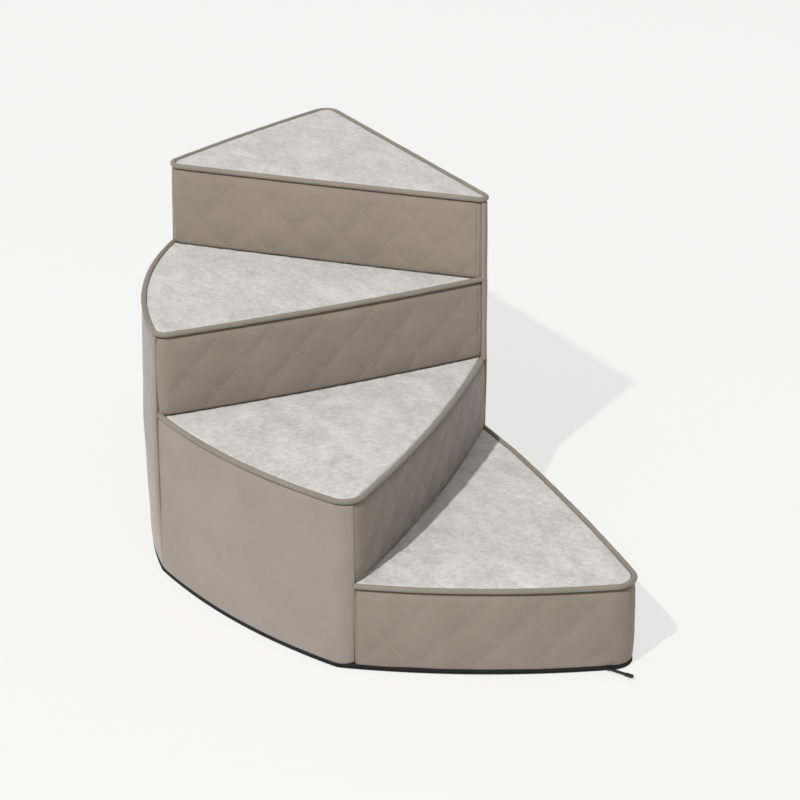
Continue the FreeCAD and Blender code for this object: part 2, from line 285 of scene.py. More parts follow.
def grid_faces(index):
    """Faces of a grid of vertex numbers, four corners each."""
    corners = (index[:-1, :-1], index[1:, :-1], index[1:, 1:], index[:-1, 1:])
    return np.stack(corners, -1).reshape(-1, 4)


def ring_faces(index, closed):
    """Faces of a grid whose columns join up into rings, and whose rings may join up too."""
    return grid_faces(np.pad(index, ((0, int(closed)), (0, 1)), mode="wrap"))


def closed_sheet(points, normals, Z, offset):
    """Sheet whose outer face stands at an offset and whose inner face is even."""
    outer = np.zeros(Z.shape + (3,))
    outer[..., :2] = points + normals * offset[..., None]
    outer[..., 2] = Z
    inner = outer.copy()
    depth = np.minimum(-(COVER + RIM_TUCK), offset - SEAM_CLOTH)
    inner[..., :2] = points + normals * depth[..., None]
    n, m = Z.shape
    index = np.arange(n * m).reshape(n, m)
    front = grid_faces(index)
    faces = list(np.stack((front, front[:, FLIPPED] + n * m), 1).reshape(-1, 4))
    rim = [*index[:, 0], *index[-1, 1:], *index[-2::-1, -1], *index[0, -2:0:-1]]
    for a, b in zip(rim, rim[1:] + rim[:1]):
        faces.append((b, a, a + n * m, b + n * m))
    return np.concatenate((outer.reshape(-1, 3), inner.reshape(-1, 3))), faces


def pivot_lift(points):
    """Step 1 sits a little higher where it is squeezed in at the upright edge."""
    return PIVOT_LIFT * np.exp(-(np.linalg.norm(points, axis=-1) / PIVOT_LIFT_REACH) ** 2)


def wall_mesh(path, low, high, shape, step, lifted=False):
    """Closed padded sheet along a path. shape(s, z) gives its outer face's offset."""
    s = graded(path.length, step)
    z = low + graded(high - low, step)
    S, Z = np.meshgrid(s, z, indexing="ij")
    points, normals = [np.broadcast_to(v[:, None, :], S.shape + (2,)) for v in path.at(s)]
    height = Z + (pivot_lift(points) * (Z - low) / (high - low) if lifted else 0.0)
    return closed_sheet(points, normals, height, shape(S, Z))


RIPPLE_WAVES = 9


def ripple(S, Z, seed, amount, longest, shortest):
    """Gentle uneven swell of a padded face: waves of mixed lengths and directions."""
    rng = np.random.RandomState(seed)
    total = np.zeros_like(S)
    for _ in range(RIPPLE_WAVES):
        wave = math.exp(rng.uniform(math.log(shortest), math.log(longest)))
        heading = rng.uniform(0.0, math.pi)
        phase = rng.uniform(0.0, 2.0 * math.pi)
        along = S * math.cos(heading) + Z * math.sin(heading)
        total += np.sin(2.0 * math.pi * along / wave + phase) * (wave / longest)
    return total * amount / 3.0


# ---- materials ----
class Nodes:
    """Node tree of a world or lamp, or, as a Surface, of a material."""

    def __init__(self, owner):
        owner.use_nodes = True
        self.tree = owner.node_tree
        self.tree.nodes.clear()

    def node(self, kind, inputs=None, output=0, **values):
        """Adds a node with its inputs set or linked. Returns one of its outputs, if it has any."""
        node = self.tree.nodes.new(kind)
        for key, value in values.items():
            setattr(node, key, value)
        for key, value in (inputs or {}).items():
            socket = node.inputs[key]
            if isinstance(value, bpy.types.NodeSocket):
                self.tree.links.new(value, socket)
            else:
                socket.default_value = (*value, 1.0) if socket.type == "RGBA" else value
        return node.outputs[output] if len(node.outputs) else None


class Surface(Nodes):
    """Material, with short forms of the nodes that its finish uses."""

    def __init__(self, name):
        self.material = bpy.data.materials.new(name)
        super().__init__(self.material)
        self.place = self.node("ShaderNodeTexCoord", output="Object")

    def stretched(self, scale):
        return self.node("ShaderNodeMapping", {"Scale": scale, "Vector": self.place})

    def noise(self, scale, detail=4.0, rough=0.55, vector=None, distortion=0.0):
        inputs = {"Scale": scale, "Detail": detail, "Roughness": rough, "Distortion": distortion}
        return self.node("ShaderNodeTexNoise", {**inputs, "Vector": vector or self.place}, "Fac")

    def spread(self, value, low, high, to_low=0.0, to_high=1.0):
        inputs = {"From Min": low, "From Max": high, "To Min": to_low, "To Max": to_high}
        return self.node("ShaderNodeMapRange", {**inputs, "Value": value})

    def math(self, operation, a, b):
        return self.node("ShaderNodeMath", {0: a, 1: b}, operation=operation)

    def mix(self, factor, a, b):
        return self.node("ShaderNodeMix", {"Factor": factor, 6: a, 7: b}, 2, data_type="RGBA")

    def bump(self, height, strength, distance, normal=None):
        inputs = {"Strength": strength, "Distance": distance, "Height": height}
        if normal is not None:
            inputs["Normal"] = normal
        return self.node("ShaderNodeBump", inputs)

    def scaled(self, colour, shade):
        """A colour made lighter or darker by a number that varies over the surface."""
        return self.node("ShaderNodeVectorMath", {0: colour, "Scale": shade}, operation="SCALE")

    def finish(self, colour, roughness, **others):
        inputs = {key.replace("_", " "): value for key, value in others.items()}
        inputs.update({"Base Color": colour, "Roughness": roughness})
        shader = self.node("ShaderNodeBsdfPrincipled", inputs)
        self.node("ShaderNodeOutputMaterial", {"Surface": shader})
        return self.material


def srgb(*channels):
    """Linear colour from 0 to 255 display values."""
    return tuple(((c / 255.0 + 0.055) / 1.055) ** 2.4 for c in channels)


def suede(name, base, dark, light):
    """Brushed microfibre: faint cloudy tone, fine nap and a soft sheen."""
    n = Surface(name)
    cloud = n.noise(11.0, 3.0, 0.5)
    nap = n.noise(90.0, 5.0, 0.6)
    grain = n.noise(1500.0, 2.0, 0.5)
    colour = n.mix(n.spread(cloud, 0.35, 0.65), dark, light)
    colour = n.mix(0.5, base, colour)
    colour = n.mix(n.spread(nap, 0.3, 0.7, 0.0, 0.35), colour, base)
    colour = n.scaled(colour, n.spread(grain, 0.25, 0.75, 0.90, 1.07))
    normal = n.bump(nap, 0.10, 0.002)
    normal = n.bump(grain, 0.25, 0.0004, normal)
    rough = n.spread(nap, 0.2, 0.8, 0.78, 0.92)
    return n.finish(colour, rough, Normal=normal, Sheen_Weight=0.25, Sheen_Roughness=0.45,
                    Specular_IOR_Level=0.25)


def plush(name, base, dark, light):
    """Short crushed pile: soft patches where the nap lies one way or the other."""
    n = Surface(name)
    patch = n.noise(17.0, 4.0, 0.62, n.stretched((1.0, 1.7, 1.0)), 0.6)
    blotch = n.noise(110.0, 6.0, 0.72, n.stretched((1.5, 1.0, 1.0)), 0.3)
    pile = n.noise(700.0, 3.0, 0.65)
    tone = n.math("ADD", n.math("MULTIPLY", patch, 0.42), n.math("MULTIPLY", blotch, 0.58))
    colour = n.mix(n.spread(tone, 0.36, 0.62), dark, light)
    colour = n.mix(n.spread(pile, 0.30, 0.70, 0.0, 0.30), colour, base)
    colour = n.scaled(colour, n.spread(pile, 0.25, 0.75, 0.84, 1.12))
    normal = n.bump(blotch, 0.25, 0.003)
    normal = n.bump(pile, 0.55, 0.0009, normal)
    return n.finish(colour, 0.95, Normal=normal, Sheen_Weight=0.35, Sheen_Roughness=0.5,
                    Specular_IOR_Level=0.1)


def woven(name, base, other, pitch):
    """Close weave for tape, thread and base cloth."""
    n = Surface(name)
    inputs = {"Scale": 1.0 / pitch, "Distortion": 2.0, "Vector": n.place}
    wave = n.node("ShaderNodeTexWave", inputs, "Fac", wave_type="BANDS", bands_direction="DIAGONAL")
    colour = n.mix(wave, base, other)
    normal = n.bump(wave, 0.4, 0.0004)
    rough = n.spread(n.noise(700.0, 3.0), 0.3, 0.7, 0.75, 0.95)
    return n.finish(colour, rough, Normal=normal, Sheen_Weight=0.1, Specular_IOR_Level=0.3)


def foam(name, base, dark):
    """Open-cell foam, seen only with the cover off."""
    n = Surface(name)
    cells = n.node("ShaderNodeTexVoronoi", {"Scale": 450.0, "Vector": n.place}, "Distance")
    colour = n.mix(n.spread(cells, 0.0, 0.6), dark, base)
    return n.finish(colour, 0.95, Normal=n.bump(cells, 0.6, 0.001))


def hard(name, base, rough_low, rough_high, metallic, grain_scale):
    """Moulded or painted hard part with a fine uneven finish."""
    n = Surface(name)
    grain = n.noise(grain_scale, 4.0)
    colour = n.mix(n.spread(grain, 0.3, 0.7, 0.0, 0.3), base, tuple(c * 1.8 + 0.005 for c in base))
    rough = n.spread(grain, 0.2, 0.8, rough_low, rough_high)
    return n.finish(colour, rough, Normal=n.bump(grain, 0.15, 0.0002), Metallic=metallic)


COVER_CLOTH = suede("cover_suede", srgb(151, 140, 131), srgb(143, 133, 124), srgb(158, 147, 137))
QUILT_CLOTH = suede("quilted_suede", srgb(140, 128, 118), srgb(132, 121, 110), srgb(147, 135, 125))
PIPING_CLOTH = suede("piping_suede", srgb(136, 129, 118), srgb(125, 118, 108), srgb(146, 138, 127))
PLUSH = plush("tread_plush", srgb(200, 197, 193), srgb(174, 170, 165), srgb(219, 216, 213))
THREAD = woven("quilting_thread", srgb(181, 170, 158), srgb(163, 152, 141), 0.0012)
SEAM_THREAD = woven("seam_thread", srgb(98, 88, 79), srgb(78, 70, 62), 0.0012)
TAPE = woven("zip_tape_weave", srgb(38, 37, 36), srgb(20, 20, 20), 0.0010)
BASE_CLOTH = woven("base_cloth", srgb(34, 34, 34), srgb(18, 18, 18), 0.0022)
ZIP_PLASTIC = hard("zip_plastic", srgb(26, 26, 27), 0.35, 0.5, 0.0, 600.0)
ZIP_METAL = hard("zip_metal", srgb(30, 30, 31), 0.3, 0.45, 0.4, 500.0)
FOAM = foam("core_foam", srgb(226, 222, 208), srgb(188, 182, 164))
PAD_FOAM = foam("comfort_foam", srgb(233, 230, 218), srgb(200, 195, 180))


# ---- cover walls ----
QUILTING = {  # per panel: distance and height of one crossing, width of a diamond
    1: (42.5, 48.0, 78.5),
    2: (50.0, 40.0, 77.0),
    3: (52.8, 0.0, 80.0),
    4: (57.0, 20.0, 75.5),
}
QUILT_HEIGHT = 80.0  # height of a diamond
QUILT_TOP = 13.0  # plain band above the quilting
QUILT_DEPTH = 1.3  # how deep the stitch lines lie
QUILT_PINCH = 6.0
QUILT_SWELL = 1.4  # middle of a quilted face, over its edges
PUFF_STEP = 3.5  # spacing of the cloth's points in the cloth run
PUFF_PIN = 1.9  # points this near a stitch line are held
PUFF_CAP = 2.2  # most that a diamond swells
QUILT_PRESSURE = 4.0
CLOTH_FRAMES = 20
FOOT_PULL = {1: 0.0, 2: 6.0, 3: 0.0, 4: 0.0}  # how far a face's foot is drawn in
ROLL_HEIGHT = 17.0  # the top of a quilted face rolls back over this height
ROLL_DEPTH = 3.6
WALL_BOTTOM = 6.5
RISER_TUCK = 3.0  # a riser goes this far below the tread in front of it
PROUD = 0.8  # covers stand this far outside the plan
WALL_SWELL = {1: 1.2, 2: 1.4, 3: 4.6, 4: 2.2}  # middle of each smooth wall, over its edges
FOOT_WIDTH = 5.0  # widths and depths of the turned-in edges
FOOT_DEPTH = 2.6
END_WIDTH = 3.0
END_DEPTH = 1.3
TOP_WIDTH = 5.2
TOP_DEPTH = 7.0


def quilt_phase(S, Z, shift):
    """The two families of quilting lines; each whole number is a line."""
    across, up = (S - shift[0]) / shift[2], (Z - shift[1]) / QUILT_HEIGHT
    return across + up, across - up


def line_distance(S, Z, shift):
    """Distance in millimetres to the nearest line of each family."""
    spacing = 1.0 / math.hypot(1.0 / shift[2], 1.0 / QUILT_HEIGHT)
    return [np.abs(phase - np.round(phase)) * spacing for phase in quilt_phase(S, Z, shift)]


def riser_path(k):
    """Run, foot and top of a quilted face: the front of step 1, or the riser under step k."""
    high = TREAD_Z[k - 1] - TREAD
    if k == 1:
        return stretch(1, ("F1", piping_start("F1")), ("F0", FRONT_SIDE_SEAM)), WALL_BOTTOM, high
    corner = "F%d" % (k - 1)
    lap = PIVOT_LAP if k == 4 else 0.0
    path = stretch(k, (corner, upper_seam(corner)), ("P", pivot_start(k) + lap))
    return path, TREAD_Z[k - 2] - RISER_TUCK, high


CLOTH_SETTINGS = {
    "quality": 5, "mass": 0.2, "tension_stiffness": 12.0, "compression_stiffness": 6.0,
    "shear_stiffness": 6.0, "bending_stiffness": 0.3, "use_pressure": True,
    "shrink_min": -0.006, "vertex_group_mass": "pins",
}


def cloth_sheet(name, verts, faces, pinned, pressure):
    """Sheet with a cloth modifier, held at its pinned points."""
    obj = new_object(name, verts, faces, QUILT_CLOTH)
    group = obj.vertex_groups.new(name="pins")
    group.add([int(i) for i in np.flatnonzero(pinned)], 1.0, "REPLACE")
    cloth = obj.modifiers.new("cloth", "CLOTH")
    for key, value in CLOTH_SETTINGS.items():
        setattr(cloth.settings, key, value)
    cloth.settings.uniform_pressure_force = pressure
    cloth.settings.effector_weights.gravity = 0.0
    cloth.collision_settings.use_collision = False
    return obj


def run_cloth(sheets):
    """Steps all the sheets together and removes them. Returns their points, in millimetres."""
    scene = bpy.context.scene
    for number in range(1, CLOTH_FRAMES + 1):
        scene.frame_set(number)
    graph = bpy.context.evaluated_depsgraph_get()
    results = []
    for obj in sheets:
        shaped = obj.evaluated_get(graph).to_mesh()
        moved = np.zeros(len(shaped.vertices) * 3)
        shaped.vertices.foreach_get("co", moved)
        results.append(moved.reshape(-1, 3) / MM)
    for obj in sheets:
        mesh = obj.data
        bpy.data.objects.remove(obj, do_unlink=True)
        bpy.data.meshes.remove(mesh)
    scene.frame_set(1)
    return results


def capped(swell, limit):
    """Soft limit on how far a face may swell."""
    return limit * np.tanh(np.maximum(swell, 0.0) / limit)


def face_grid(k):
    """Even grid over a quilted face: its distances, heights, points and outward normals."""
    path, low, high = riser_path(k)
    s = np.linspace(0.0, path.length, int(path.length / PUFF_STEP) + 1)
    z = np.linspace(low, high, int((high - low) / PUFF_STEP) + 1)
    flat, normals = path.at(s)
    verts = np.zeros((len(s), len(z), 3))
    verts[..., :2] = flat[:, None, :]
    verts[..., 2] = z[None, :]
    return s, z, verts, normals


def quilt_sheet(k):
    """Cloth over a quilted face, pinned at its stitch lines and edges."""
    s, z, verts, _ = face_grid(k)
    S, Z = np.meshgrid(s, z, indexing="ij")
    faces = grid_faces(np.arange(S.size).reshape(S.shape))
    on_line = np.min(line_distance(S, Z, QUILTING[k]), axis=0) < PUFF_PIN
    pinned = on_line & (Z < z[-1] - QUILT_TOP + 2.0)
    pinned[[0, -1], :] = True
    pinned[:, [0, -1]] = True
    return cloth_sheet("puff_%d" % k, verts.reshape(-1, 3), faces, pinned.ravel(), QUILT_PRESSURE)


def simulate_puffs():
    """Cloth run of the four quilted faces. Returns how far each one swells, by panel."""
    swells = {}
    for k, moved in zip(QUILTING, run_cloth([quilt_sheet(k) for k in QUILTING])):
        s, z, verts, normals = face_grid(k)
        moved = moved.reshape(verts.shape) - verts
        swell = moved[..., 0] * normals[:, None, 0] + moved[..., 1] * normals[:, None, 1]
        swells[k] = (s, z, capped(swell, PUFF_CAP))
    return swells


SWELLS = simulate_puffs()


def sampled(field, S, Z):
    """Value of a gridded field between its points."""
    s, z, values = field
    a = np.clip(S / (s[1] - s[0]), 0.0, len(s) - 1.001)
    b = np.clip((Z - z[0]) / (z[1] - z[0]), 0.0, len(z) - 1.001)
    i, j = a.astype(int), b.astype(int)
    u, v = a - i, b - j
    near_side = values[i, j] * (1.0 - v) + values[i, j + 1] * v
    far_side = values[i + 1, j] * (1.0 - v) + values[i + 1, j + 1] * v
    return near_side * (1.0 - u) + far_side * u


def quilting(S, Z, k, high):
    if k in SWELLS:
        return sampled(SWELLS[k], S, Z) - QUILT_DEPTH
    puff = np.ones_like(S)
    for distance in line_distance(S, Z, QUILTING[k]):
        puff *= 1.0 - np.exp(-distance / QUILT_PINCH)
    fade = np.clip((high - QUILT_TOP + 4.0 - Z) / 8.0, 0.0, 1.0)
    return QUILT_DEPTH * (puff - 1.0) * fade


def edges_in(S, Z, length, low, high, valley=0.0):
    """Turned-in edges of a panel: top, foot and both ends, the first end down to a deeper seam."""
    total = edge_roll(length - S, END_WIDTH, END_DEPTH)
    total += edge_roll(high - Z, TOP_WIDTH, TOP_DEPTH)
    total += edge_roll(Z - low, FOOT_WIDTH, FOOT_DEPTH)
    total = np.maximum(total, -TOP_DEPTH)
    return np.minimum(total, edge_roll(S, END_WIDTH + 0.8 * valley, END_DEPTH + valley))


def smooth_piece(name, node, mesh):
    """Smooth cover, stretched over the foam."""
    obj = piece(name, mesh, COVER_CLOTH, "smooth_cover", node)


def smooth_wall(name, node, path, k, seed, valley=0.0):
    """Smooth cover from the foot to the tread of step k."""
    low, high = WALL_BOTTOM, TREAD_Z[k - 1] - TREAD

    def shape(S, Z):
        rise = PROUD + WALL_SWELL[k] * np.sin(np.pi * (Z - low) / (high - low))
        uneven = ripple(S, Z, seed, 0.8, 220.0, 70.0)
        return rise + uneven + edges_in(S, Z, path.length, low, high, valley)

    mesh = wall_mesh(path, low, high, shape, 4.0, lifted=k == 1)
    smooth_piece(name, node, mesh)


QUILTS = []


def quilted_wall(name, k, seed, valley=0.0):
    """Quilted cover of panel k, kept in QUILTS for its stitching."""
    path, low, high = riser_path(k)

    def shape(S, Z):
        t = np.clip((Z - (high - ROLL_HEIGHT)) / ROLL_HEIGHT, 0.0, 1.0)
        roll = -ROLL_DEPTH * t * t
        swell = PROUD + QUILT_SWELL * np.sin(np.pi * np.clip((Z - low) / (high - low), 0.0, 1.0))
        body = swell + roll + quilting(S, Z, k, high) + ripple(S, Z, seed, 0.5, 120.0, 40.0)
        down = np.clip((high - Z) / (high - low), 0.0, 1.0)
        middle = np.sin(np.pi * np.clip(S / path.length, 0.0, 1.0))
        body = body - FOOT_PULL[k] * middle * down ** 1.5
        return body + edges_in(S, Z, path.length, low, high, valley)

    mesh = wall_mesh(path, low, high, shape, 3.0)
    obj = piece(name, mesh, QUILT_CLOTH, "quilted_cover", "riser_panel_%d" % k)
    QUILTS.append((name, k, shape))


def build_walls():
    for k in STEPS[1:]:
        far, close = "F%d" % k, "F%d" % (k - 1)
        start = (far, BACK_SEAM if k == 4 else piping_start(far))
        path = stretch(k, start, (close, upper_seam(close)))
        valley = 0.0 if k == 4 else seam_depth(far)
        smooth_wall("outer_cover_%d" % k, "outer_wall_%d" % k, path, k, 40 + k, valley)
    side = stretch(1, ("F0", FRONT_SIDE_SEAM), ("P", 90.0))
    smooth_wall("side_cover", "side_panel", side, 1, 51)
    quilted_wall("front_quilt", 1, 61, seam_depth("F1"))
    for k in STEPS[1:]:
        quilted_wall("riser_quilt_%d" % k, k, 61 + k)


build_walls()


def back_start(z):
    """How far round the upright edge the back cover starts at each height."""
    level = 1 + np.searchsorted(np.array(TREAD_Z[:3]) - TREAD, z, "right")
    first = pivot_start(4) + PIVOT_LAP
    angles = np.array([90.0, pivot_start(2), pivot_start(3), first])
    return PIVOT_RADIUS * np.radians(angles[level - 1] - first)


BACK_STEP = 6.0
BACK_SWELL = 0.9
LEDGE = 0.02  # half the height of the jump in the cover's edge at each tread
BACK_BLEND = 60.0  # the jump fades out over this length


def back_cover():
    """Back cover: full height, wrapped round the upright edge to meet each riser."""
    path = stretch(4, ("P", pivot_start(4) + PIVOT_LAP), ("F4", BACK_SEAM))
    low, high = WALL_BOTTOM, TREAD_Z[3] - TREAD
    levels = [low] + [z - TREAD for z in TREAD_Z]
    ledges = levels[1:-1]
    rows = np.concatenate([a + graded(b - a, BACK_STEP) for a, b in zip(levels[:-1], levels[1:])])
    rows = np.unique(np.concatenate([rows] + [[z - LEDGE, z + LEDGE] for z in ledges]))
    rows = np.array([z for z in rows if min(abs(z - ledge) for ledge in ledges) > 1e-6])
    s = graded(path.length, BACK_STEP)
    S, Z = np.meshgrid(s, rows, indexing="ij")
    begin = back_start(rows)[None, :]
    placed = S + begin * np.clip(1.0 - S / BACK_BLEND, 0.0, 1.0)
    points, normals = path.at(placed.ravel())
    shape = PROUD + BACK_SWELL * np.sin(np.pi * (Z - low) / (high - low))
    shape += ripple(placed, Z, 91, 0.8, 260.0, 80.0)
    shape += edges_in(S, Z, path.length, low, high)
    full = S.shape + (2,)
    mesh = closed_sheet(points.reshape(full), normals.reshape(full), Z, shape)
    smooth_piece("back_cover", "back_panel", mesh)


back_cover()


# ---- tubes: piping and thread ----
def unit_ring(count):
    """Evenly spaced directions round a full turn."""
    turn = np.arange(count) * 2.0 * math.pi / count
    return np.column_stack((np.cos(turn), np.sin(turn)))


def tube(points, sideways, upward, radii, sides, closed=False):
    """Vertices and faces of a tube along points, with flat ends when open."""
    n = len(points)
    turn = unit_ring(sides)
    ring = turn[None, :, :1] * sideways[:, None, :] + turn[None, :, 1:] * upward[:, None, :]
    verts = points[:, None, :] + ring * np.asarray(radii)[:, None, None]
    index = np.arange(n * sides).reshape(n, sides)
    faces = list(ring_faces(index, closed)[:, FLIPPED])
    if not closed:
        faces += [index[0][::-1], index[-1]]
    return verts.reshape(-1, 3), faces


PIPING_STEP = 2.5
PIPING_SIDES = 14


def piping(k):
    """Corded edge: a slightly uneven fabric tube laid along the tread's edge."""
    closed = k == 4
    if closed:
        path = stretch(4)
    else:
        corner = "F%d" % k
        path = stretch(k, (corner, piping_start(corner)), ("P", 90.0 if k == 1 else pivot_start(k)))
    count = int(path.length / PIPING_STEP)
    s = np.linspace(0.0, path.length, count, endpoint=not closed)
    flat, normals = path.at(s)
    waver = 0.18 * np.sin(s / 23.0 + k) + 0.12 * np.sin(s / 9.1 + 2.0 * k)
    height = TREAD_Z[k - 1] - PIPING_DROP + 0.5 * waver + (pivot_lift(flat) if k == 1 else 0.0)
    centre = np.column_stack((flat - normals * (PIPING_INSET - 0.3 * waver[:, None]), height))
    out = np.column_stack((normals, np.zeros(count)))
    up = np.tile((0.0, 0.0, 1.0), (count, 1))
    radii = PIPING_RADIUS + 0.10 * np.sin(s / 5.3 + k) * np.sin(s / 31.0)
    mesh = tube(centre, out, up, radii, PIPING_SIDES, closed)
    piece("corded_edge_%d" % k, mesh, PIPING_CLOTH, "piping", "piping_%d" % k)


for step in STEPS:
    piping(step)


QUILT_STITCH = {"pitch": 6.2, "length": 4.2, "radius": 0.38, "lift": 0.12}
SEAM_STITCH = {"pitch": 5.2, "length": 3.0, "radius": 0.42, "lift": 0.1}
STITCH_PROFILE = np.array((0.0, 0.12, 0.5, 0.88, 1.0))  # places along a stitch
STITCH_SINK = np.array((-0.75, -0.05, 0.0, -0.05, -0.75))  # its ends dive into the cloth
STITCH_GIRTH = np.array((0.35, 0.9, 1.0, 0.9, 0.35))
THREAD_SIDES = 6


def on_wall(path, shape, S, Z, lift):
    """Points a little above a wall's face."""
    flat, normals = path.at(S)
    offset = shape(S, Z) + lift
    return np.column_stack((flat + normals * offset[:, None], Z)), normals


def stitches(name, path, shape, lines, material, pitch, length, radius, lift):
    """Thread along straight lines on a quilted face: rows of short stitches."""
    verts, faces, total = [], [], 0
    for (s0, z0), (s1, z1) in lines:
        run = math.hypot(s1 - s0, z1 - z0)
        count = int((run - length) / pitch)
        for i in range(count + 1):
            first = (run - count * pitch - length) / 2.0
            t = (i * pitch + first + STITCH_PROFILE * length) / run
            S, Z = s0 + t * (s1 - s0), z0 + t * (z1 - z0)
            points, normals = on_wall(path, shape, S, Z, lift)
            out = np.column_stack((normals, np.zeros(len(S))))
            points += out * STITCH_SINK[:, None]
            tangent = points[-1] - points[0]
            tangent /= np.linalg.norm(tangent)
            side = np.cross(out, tangent)
            side /= np.linalg.norm(side, axis=1)[:, None]
            v, f = tube(points, side, out, radius * STITCH_GIRTH, THREAD_SIDES)
            verts.append(v)
            faces.extend([tuple(total + j for j in face) for face in f])
            total += len(v)
    piece(name, (np.concatenate(verts), faces), material, "quilted_cover")


def clip_line(s0, z0, s1, z1, box):
    """The part of a line inside a (low s, high s, low z, high z) box, or None."""
    t0, t1 = 0.0, 1.0
    for start, change, low, high in ((s0, s1 - s0, box[0], box[1]), (z0, z1 - z0, box[2], box[3])):
        ends = sorted(((low - start) / change, (high - start) / change))
        t0, t1 = max(t0, ends[0]), min(t1, ends[1])
    if t1 <= t0:
        return None
    return (s0 + t0 * (s1 - s0), z0 + t0 * (z1 - z0)), (s0 + t1 * (s1 - s0), z0 + t1 * (z1 - z0))


LINE_MARGIN = 3.5  # quilting lines stop this far from a panel's ends
LINE_OVERRUN = 5.0  # lines are drawn this far past a panel, then clipped
SHORTEST_LINE = 8.0  # least height of a clipped line
LINE_COUNT = range(-12, 20)


def quilt_lines(length, low, high, shift):
    """Every quilting line of a panel, clipped a little inside its edges."""
    s_cross, z_cross, width = shift
    z0, z1 = low - LINE_OVERRUN, high + LINE_OVERRUN
    lines = []
    for slope in (1.0, -1.0):
        for m in LINE_COUNT:
            s0 = s_cross + width * (m + slope * (z0 - z_cross) / QUILT_HEIGHT)
            s1 = s_cross + width * (m + slope * (z1 - z_cross) / QUILT_HEIGHT)
            line = clip_line(s0, z0, s1, z1, (LINE_MARGIN, length - LINE_MARGIN, low, high))
            if line is not None and abs(line[1][1] - line[0][1]) > SHORTEST_LINE:
                lines.append(line)
    return lines


def quilt_thread():
    """Thread along every quilting line."""
    for name, k, shape in QUILTS:
        path, low, high = riser_path(k)
        bottom = low + (5.0 if k == 1 else 6.0)
        lines = quilt_lines(path.length, bottom, high - QUILT_TOP, QUILTING[k])
        stitches(name + "_thread", path, shape, lines, THREAD, **QUILT_STITCH)


def seam_thread():
    """Upright stitched seams: one beside the front corner, two beside the upright edge."""
    for name, k, shape in QUILTS:
        path, low, high = riser_path(k)
        ends = [3.4] if k == 1 else [path.length - 3.2, path.length - 8.6]
        lines = [((s, low + 5.0), (s + 0.01, high - 3.0)) for s in ends]
        stitches(name + "_seam", path, shape, lines, SEAM_THREAD, **SEAM_STITCH)


quilt_thread()
seam_thread()


# ---- treads ----
TREAD_EDGE = 6.2  # inset of a tread from the wall
TREAD_TUCK = {1: -6.2, 2: 0.4, 3: 0.4, 4: None}  # gap to the outline of the next step, if any
TREAD_SPACING = 6.0
TREAD_DEPTHS = (0.5, 1.2, 2.2, 3.6, 5.4)  # rings of points near a tread's edge
TREAD_PRESSURE = 0.15
TREAD_SINK = 1.7  # edge of a tread, below its height in the CAD
CROWN_CAP = 1.9  # most that a tread's middle rises
CROWN_REACH = 35.0
ROW_PITCH = 0.866  # height of a row of even triangles, as a share of their side
FIT = 0.3  # air between separate pieces


def outline(level, inset, step=2.5):
    """Closed polygon of a level's outline, moved in by an inset."""
    path = stretch(level)
    points, normals = path.at(np.arange(0.0, path.length, step))
    return points - normals * inset


def within(points, loop):
    """Which points lie inside a closed polygon."""
    x, y = points[:, 0][:, None], points[:, 1][:, None]
    ax, ay = loop[:, 0][None, :], loop[:, 1][None, :]
    bx, by = np.roll(loop[:, 0], -1)[None, :], np.roll(loop[:, 1], -1)[None, :]
    crosses = ((ay > y) != (by > y)) & (x < (bx - ax) * (y - ay) / (by - ay + 1e-12) + ax)
    return crosses.sum(1) % 2 == 1


def distance_to(points, loop):
    """Distance from each point to a closed polygon."""
    a, b = loop, np.roll(loop, -1, axis=0)
    run = b - a
    best = np.full(len(points), 1e9)
    for i in range(len(a)):
        t = np.clip(((points - a[i]) @ run[i]) / (run[i] @ run[i]), 0.0, 1.0)
        gap = np.linalg.norm(points - a[i] - t[:, None] * run[i], axis=1)
        best = np.minimum(best, gap)
    return best


def region(level, inset, next_gap, spacing, depths):
    """Flat triangulation of a level, less the next level's outline when a gap to it is given.

    Returns points, triangles and each point's distance from the edge.
    """
    loops = [outline(level, inset)]
    if next_gap is not None:
        loops.append(outline(level + 1, -next_gap))

    def inside(points, clear):
        keep = within(points, loops[0])
        for loop in loops[1:]:
            keep &= ~within(points, loop)
        points = points[keep]
        gap = np.min([distance_to(points, loop) for loop in loops], axis=0)
        return points[gap > clear]

    extra = []
    for depth in depths:
        ring = [outline(level, inset + depth, 4.0)]
        if next_gap is not None:
            ring.append(outline(level + 1, -next_gap - depth, 4.0))
        extra.append(inside(np.concatenate(ring), depth * 0.97))
    low, high = loops[0].min(0), loops[0].max(0)
    for i, y in enumerate(np.arange(low[1], high[1], spacing * ROW_PITCH)):
        x = np.arange(low[0] + (i % 2) * spacing / 2.0, high[0], spacing)
        extra.append(inside(np.column_stack((x, np.full_like(x, y))), depths[-1] + 0.4 * spacing))
    coords = np.concatenate(loops + extra)
    sizes = np.cumsum([0] + [len(loop) for loop in loops])
    rings = [list(range(a, b)) for a, b in zip(sizes[:-1], sizes[1:])]
    result = geometry.delaunay_2d_cdt([Vector(c) for c in coords], [], rings, 1, 1e-4)
    points = np.array([tuple(v) for v in result[0]])
    triangles = [tuple(f) for f, origin in zip(result[2], result[5]) if list(origin) == [0]]
    used = sorted({i for f in triangles for i in f})
    renumber = {old: new for new, old in enumerate(used)}
    triangles = [tuple(renumber[i] for i in f) for f in triangles]
    points = points[used]
    gap = np.min([distance_to(points, loop) for loop in loops], axis=0)
    return points, triangles, gap


def rim_edges(triangles):
    """Directed edges used by one triangle only."""
    edges = {(f[i], f[(i + 1) % 3]) for f in triangles for i in range(3)}
    return [e for e in edges if (e[1], e[0]) not in edges]


